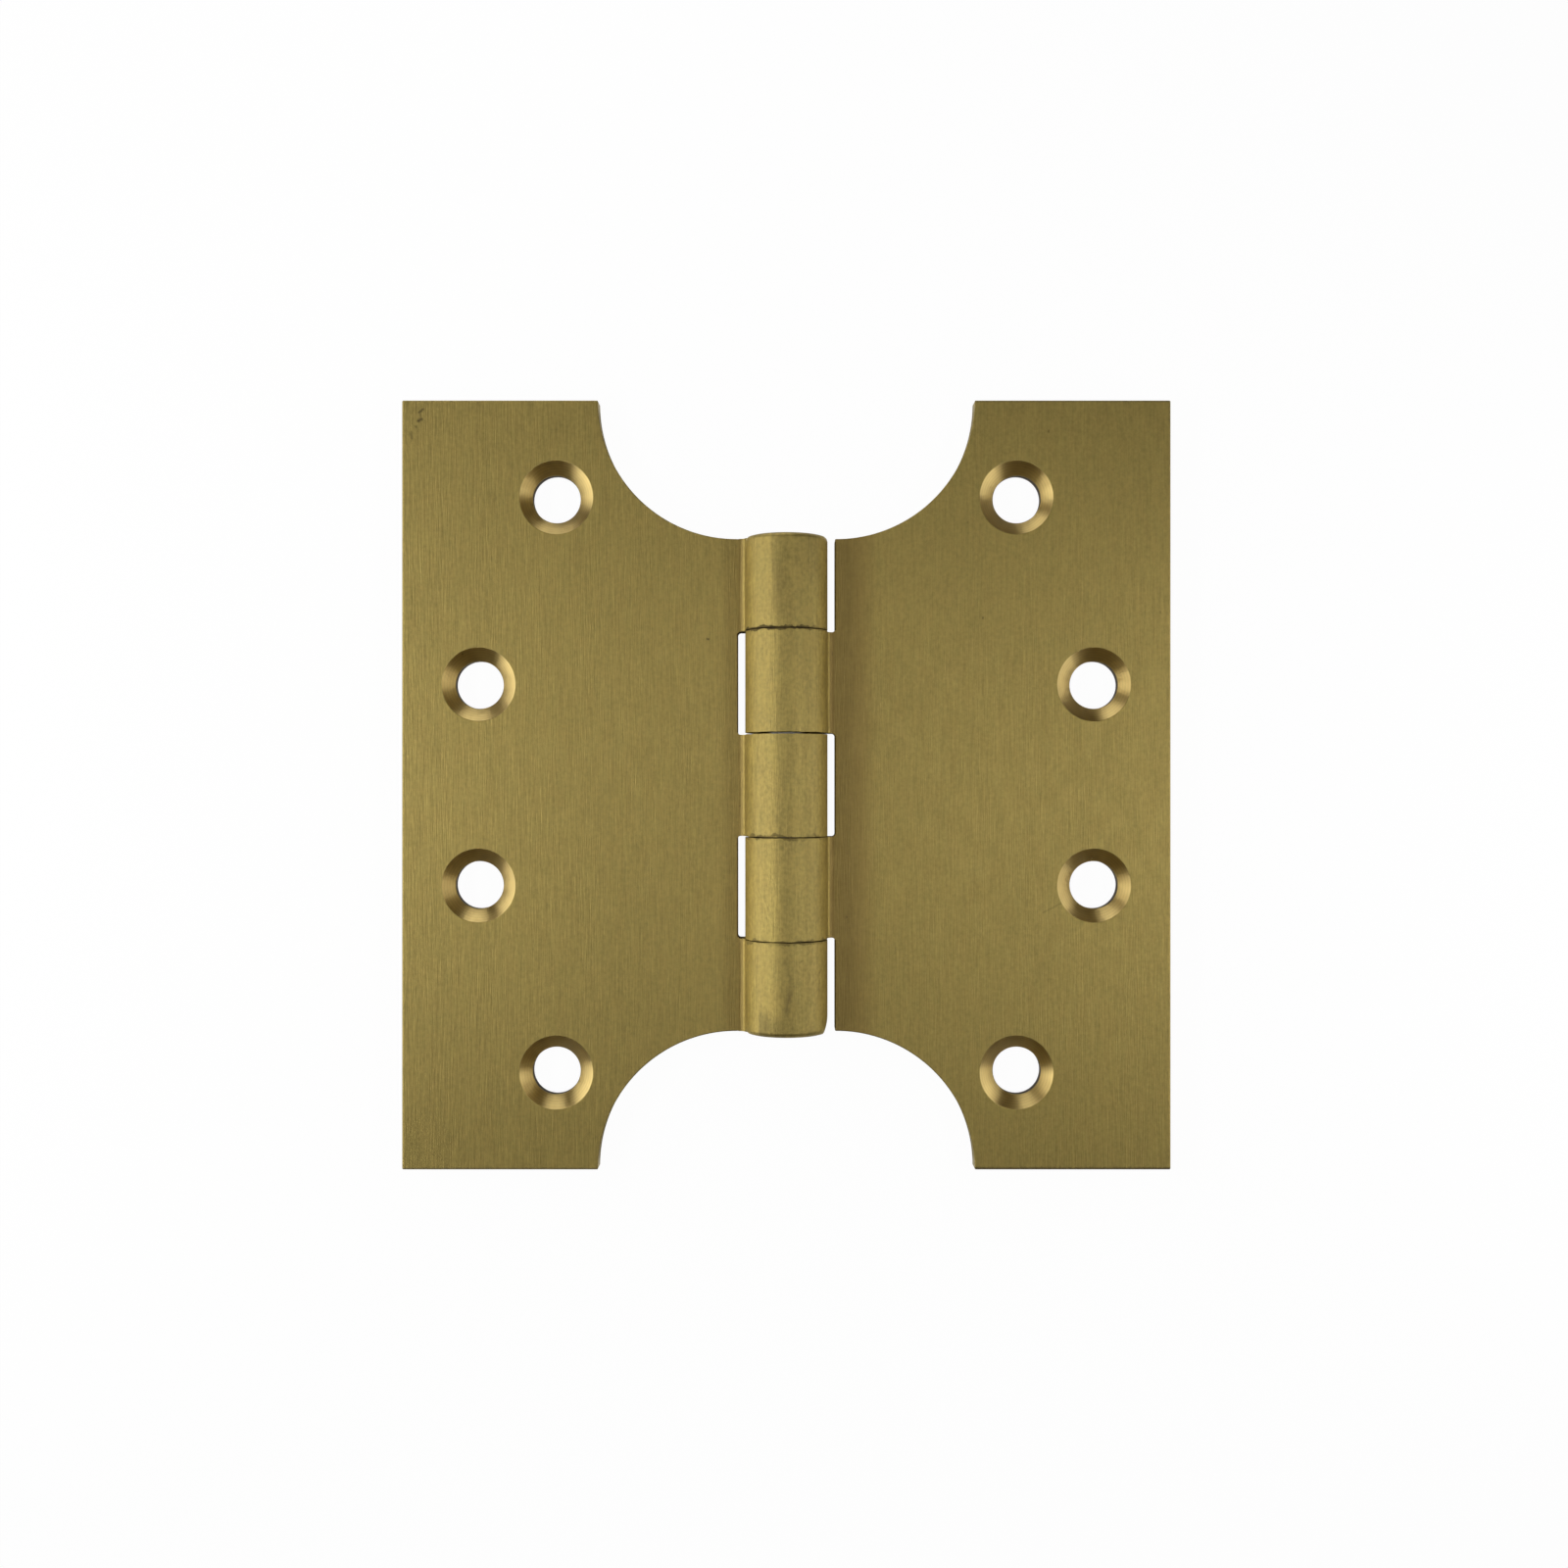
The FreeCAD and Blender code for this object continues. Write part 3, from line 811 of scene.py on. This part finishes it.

# %% [markdown]
# ## Darker patches, painted highlights and painted shade
# Two places on the barrel are darker. On the first knuckle a patch starts sharply beside the
# brightest band and bends away near the joint. On the last one, a patch covers the lower end of that band.
# The barrel's flanks and the left of its lower knuckles get a painted highlight, and the leaves close to
# the barrel and its hollows get a painted shade in brown, darkest on the right leaf.

# %% Patches
# The brown of the painted shade beside the barrel.
SHADE_BROWN = (0.165, 0.104, 0.026, 1.0)
FIRST_EDGE = -1.95 * MM
FIRST_END = 20.0 * MM
FIRST_BEND = 23.0 * MM
LAST_EDGE = -3.65 * MM
LAST_TOP = -27.9 * MM
# How strong each patch is, the painted highlights on the lower left and on the flanks, and the painted shade
# beside the barrel.
FIRST_PATCH = 0.15
LAST_PATCH = 0.36
LOWER_HIGHLIGHT = 0.14
FLANK_HIGHLIGHT = 0.40
RIGHT_SHADE = 0.49
LEFT_SHADE = 0.22
HOLLOW_SHADE = 0.24


def patches(finish):
    """How much darker the barrel is in its two patches, less where a highlight is painted on its lower left."""
    x, y = finish.x, finish.y
    low = (FIRST_BEND - y).most(0)
    border = x - low * low * (0.48 / MM)
    first = border.ramp(FIRST_EDGE, FIRST_EDGE + 0.17 * MM) * x.below(0.8 * MM, 2.2 * MM)
    first = first * y.ramp(FIRST_END, FIRST_END + 0.4 * MM)
    slant = y + (x + 3.6 * MM) * 0.5
    last = x.ramp(LAST_EDGE, LAST_EDGE + 0.2 * MM) * x.below(0.6 * MM, 2.2 * MM)
    last = last * slant.below(LAST_TOP, 2.4 * MM)
    # A painted highlight on the left of the lower knuckles.
    lower_left_highlight = y.ramp(2 * MM, -20 * MM) * x.below(0.2 * MM, 1.6 * MM)
    return first * FIRST_PATCH + last * LAST_PATCH - lower_left_highlight * LOWER_HIGHLIGHT


# The barrel's flanks get a painted highlight.
def rubbed(finish):
    """1 on the round of the barrel's two flanks, where a highlight is painted."""
    from_pin = finish.x.length(finish.z - AXIS_Z)
    on_round = from_pin.ramp(BARREL_RADIUS - 0.7 * MM, BARREL_RADIUS - 0.4 * MM)
    return finish.x.size().ramp(3.7 * MM, 4.9 * MM) * on_round


def painted_shade_beside_barrel(finish):
    """Painted shade beside the barrel and in its hollows, mostly on the right leaf."""
    right = finish.x.ramp(12.8 * MM, 9.4 * MM) * finish.x.ramp(5.0 * MM, 6.0 * MM)
    left = finish.x.ramp(-9.5 * MM, -7.0 * MM) * finish.x.ramp(-5.0 * MM, -6.0 * MM)
    hollow = finish.x.size().below(6.5 * MM, 0.4 * MM)
    return right * RIGHT_SHADE + left * LEFT_SHADE + hollow * HOLLOW_SHADE


# The brown beside the barrel is painted shade, and the flanks carry a painted highlight.
print("patches on two knuckles, rubbed flanks, and tarnish on both sides of the barrel")

# %% [markdown]
# ## The whole finish
# The layers go on in turn: brass, darker patches with painted highlights and painted shade, marks with painted
# shade along the leaves' ends, dirt, then the countersinks, which cut through all of them, and painted shade on
# their drilled walls. The same sums drive the bump, so scratches and rings catch the light too.

# %% The brass finish
SATIN = 0.46
CUT_SATIN = 0.32
METAL_SHARE = 0.7
SCRATCH_DEPTH = 0.045 * MM
CLOUD_DULLS = 0.2
DIRT_DULLS = 0.3


def satin_brass():
    finish = Finish("grained_brass")
    barrel = on_barrel(finish)
    colour, scratches, cloud = worn_brass(finish, barrel)
    colour = finish.tint(colour, 1 + (rubbed(finish) * FLANK_HIGHLIGHT - patches(finish)) * barrel)
    # Painted shade in brown on the leaves beside the barrel and in its hollows.
    colour = finish.mix(painted_shade_beside_barrel(finish) * (1 - barrel), colour, SHADE_BROWN)
    mark, chip = marks(finish, barrel)
    # The marks and the painted shade along the leaves' ends take the dirt colour.
    colour = finish.mix(mark, colour, DIRT_AND_EDGE_SHADE)
    dirt = joint_dirt(finish, barrel)
    colour = finish.mix(dirt, colour, DIRT_AND_EDGE_SHADE)
    screw = from_screw(finish)
    cone, wall = in_countersink(finish, screw)
    turning = 1 + wave(screw, TOOL_PITCH) * TURNING + cloud * CONE_CLOUD
    colour = finish.mix(cone, colour, finish.tint(CUT_BRASS[:3], turning))
    # The drilled wall is painted dark brown as shade. The chip in a countersink takes the same brown.
    colour = finish.mix(wall.most(chip * cone), colour, BORE_SHADE_AND_CHIP_BROWN)
    finish.set(Base_Color=colour)
    finish.set(Metallic=METAL_SHARE + cone * (1 - METAL_SHARE))
    finish.set(Roughness=SATIN + cloud * CLOUD_DULLS + dirt * DIRT_DULLS - cone * (SATIN - CUT_SATIN))
    rings = wave(screw, RING_PITCH)
    height = scratches * (1 - cone) * SCRATCH_DEPTH + rings * cone * RING_DEPTH
    finish.set(Normal=finish.bump(height / MM, MM))
    return finish.material


brass = satin_brass()
for leaf in (left_leaf, right_leaf):
    leaf.data.materials.clear()
    leaf.data.materials.append(brass)
print("the brass has", len(brass.node_tree.nodes), "nodes")

# %% [markdown]
# ## The steel pin
# Only its two ends show, just inside the barrel's. They were faced on a lathe, so they carry fine rings
# about the pin's own axis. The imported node's shape is right, so it only gets its finish.

# %% The pin's finish
STEEL = (0.42, 0.41, 0.40)
STEEL_SATIN = 0.34
FACING_DEPTH = 0.008 * MM


def turned_steel():
    finish = Finish("turned_steel")
    rings = wave(finish.x.length(finish.z - AXIS_Z), RING_PITCH)
    cloud = finish.noise(700, 700, 700, detail=3.0) - 0.5
    finish.set(Base_Color=finish.tint(STEEL, 0.9 + cloud * 0.4))
    finish.set(Metallic=1.0)
    finish.set(Roughness=STEEL_SATIN + cloud * 0.2)
    finish.set(Normal=finish.bump(rings, FACING_DEPTH))
    return finish.material


steel = turned_steel()
for slot in frame["nodes"]["hinge_pin"].material_slots:
    slot.material = steel
print("the steel has", len(steel.node_tree.nodes), "nodes")

# %% [markdown]
# ## The floor
# The hinge lies on plain white. For rays from the camera, and for rays mirrored or passed on by the
# object, most of the floor's light is a flat white of strength 1, and the rest is an ordinary white paint
# that keeps a faint shadow. Right under the hinge the brass mirrors only that paint, because little light
# comes in there.

# %% Floor
FLOOR_HALF = 1.5
FLOOR_DROP = 0.02 * MM
FLAT_SHARE = 0.97
PAINT = (0.8, 0.8, 0.8, 1.0)


def white_floor():
    finish = Finish("white_floor")
    rays = finish.node("ShaderNodeLightPath", output=None).outputs
    seen, glossy, passed = [
        Sum(finish.tree, rays[f"Is {kind} Ray"]) for kind in ("Camera", "Glossy", "Transmission")
    ]
    flat = finish.node("ShaderNodeEmission", {"Color": WHITE, "Strength": 1.0})
    under = finish.x.size().most(finish.y.size()).below(LEAF_REACH, 1 * MM)
    share = seen.most(glossy * (1 - under)).most(passed) * FLAT_SHARE
    finish.set(Base_Color=PAINT, Roughness=0.9)
    paint = Sum(finish.tree, finish.shader.outputs[0])
    mixed = finish.node("ShaderNodeMixShader", {0: share, 1: paint, 2: flat})
    plug(finish.tree, finish.tree.nodes["Material Output"].inputs[0], mixed)
    return finish.material


corners = [(-1, -1), (1, -1), (1, 1), (-1, 1)]
square = [(x * FLOOR_HALF, y * FLOOR_HALF, -FLOOR_DROP) for x, y in corners]
floor = mesh_object("floor", square, [(0, 1, 2, 3)])
floor.data.materials.append(white_floor())
print("the floor is", 2 * FLOOR_HALF, "m wide")

# %% [markdown]
# ## The room
# Around the light tent the room is a dark warm brown, which the sides of the countersinks that face away from
# the panels mirror. The camera itself sees white.

# %% World
STUDIO_BROWN = (0.032, 0.025, 0.018, 1.0)

world = bpy.data.worlds.new("studio")
world.use_nodes = True
bpy.context.scene.world = world
room = world.node_tree
seen = add_node(room, "ShaderNodeLightPath", output="Is Camera Ray")
shown = add_node(room, "ShaderNodeMix", {0: seen, 6: STUDIO_BROWN, 7: WHITE}, {"data_type": "RGBA"}, output=2)
plug(room, room.nodes["Background"].inputs["Color"], shown)
print("the room's colour is", STUDIO_BROWN[:3])

# %% [markdown]
# ## Light panels
# The photo was taken in a small light tent: the bright sectors of the countersinks point to one panel 17 cm
# to the left, one 14 cm to the right and one 20 cm beyond the hinge, left of its middle. More light comes
# from overhead. An area lamp's power is spread over its size, so the table gives brightness and the power
# follows from it. The camera doesn't see the panels.

# %% Light panels
# Each row has a name, the centre, the direction away from the light, the width, the height, the brightness.
PANELS = [
    ("overhead", (0, 0, 600), (0, 0, 1), 480, 120, 2.85),
    ("left low", (-172, 0, 32), (-1, 0, 0), 190, 50, 4.2),
    ("left high", (-172, 0, 183), (-1, 0, 0), 190, 60, 8.2),
    ("right low", (140, -12, 34), (1, 0, 0), 130, 46, 2.8),
    ("right high", (140, -12, 183), (1, 0, 0), 130, 60, 6.2),
    ("far", (-58, 195, 62), (0, 1, 0), 165, 92, 2.35),
]
WATTS_PER_AREA = 4


def panel(name, centre, away, width, height, brightness):
    """A flat lamp that shines against the away direction. Sizes and place are in millimetres."""
    lamp = bpy.data.lights.new(name, "AREA")
    lamp.shape = "RECTANGLE"
    lamp.size = width * MM
    lamp.size_y = height * MM
    lamp.energy = WATTS_PER_AREA * lamp.size * lamp.size_y * brightness
    box = bpy.data.objects.new(name, lamp)
    box.location = Vector(centre) * MM
    box.rotation_euler = Vector(away).to_track_quat("Z", "Y").to_euler()
    box.visible_camera = False
    bpy.context.scene.collection.objects.link(box)
    print(name, "panel,", round(lamp.energy, 3), "W")


for row in PANELS:
    panel(*row)

bpy.context.scene.view_settings.view_transform = "Standard"
